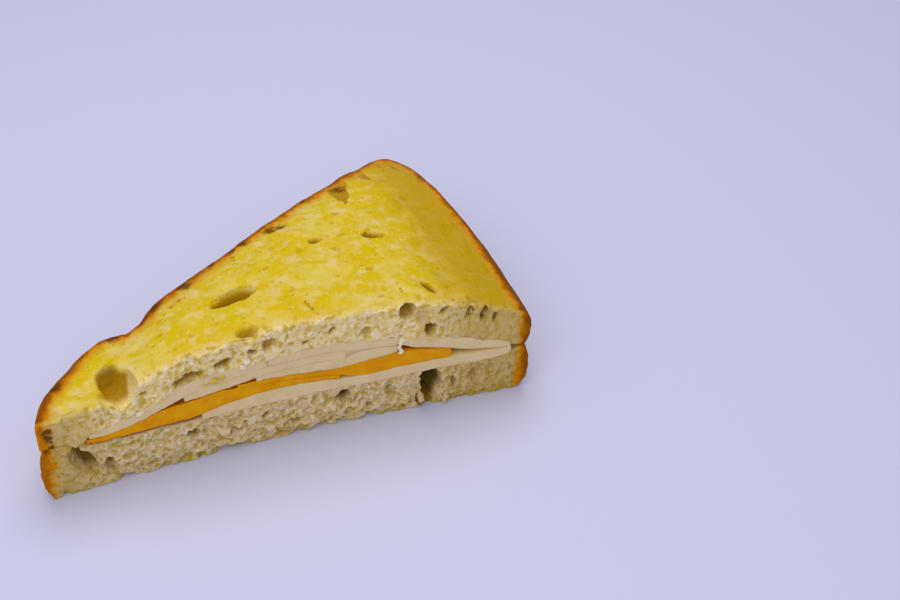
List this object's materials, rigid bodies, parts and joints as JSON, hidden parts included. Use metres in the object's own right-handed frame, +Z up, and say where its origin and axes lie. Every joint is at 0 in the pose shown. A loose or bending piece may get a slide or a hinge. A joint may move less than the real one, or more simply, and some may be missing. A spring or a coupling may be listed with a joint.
{
  "type": "toasted cheese sandwich half",
  "caption": "Half of a toasted loaf-bread sandwich, cut on the slant, with overlapping slices of white and orange cheese showing along the cut.",
  "frame": {"origin": "centre of the bounding box in plan, on the surface that the half rests on", "axes": "+X along the cut from the pointed end to the blunt end, +Y from the cut back to the crust, +Z up"},
  "size_m": [0.1627, 0.103, 0.048],
  "materials": {
    "bread_buttered": "toasted bread with a butter-yellow top, cream open crumb at the cut and a golden-brown crust",
    "bread": "cream open crumb with a golden-brown crust",
    "white_cheese": "ivory, smooth and slightly waxy",
    "orange_cheese": "warm orange, smooth and slightly oily"
  },
  "bodies": {
    "root": {"bread_top": "bread_buttered", "bread_bottom": "bread", "cheese_white_lower": "white_cheese", "cheese_orange_left": "orange_cheese", "cheese_orange_right": "orange_cheese", "cheese_white_left": "white_cheese", "cheese_white_inner": "white_cheese", "cheese_white_middle": "white_cheese", "cheese_white_right": "white_cheese"}
  },
  "joints": []
}
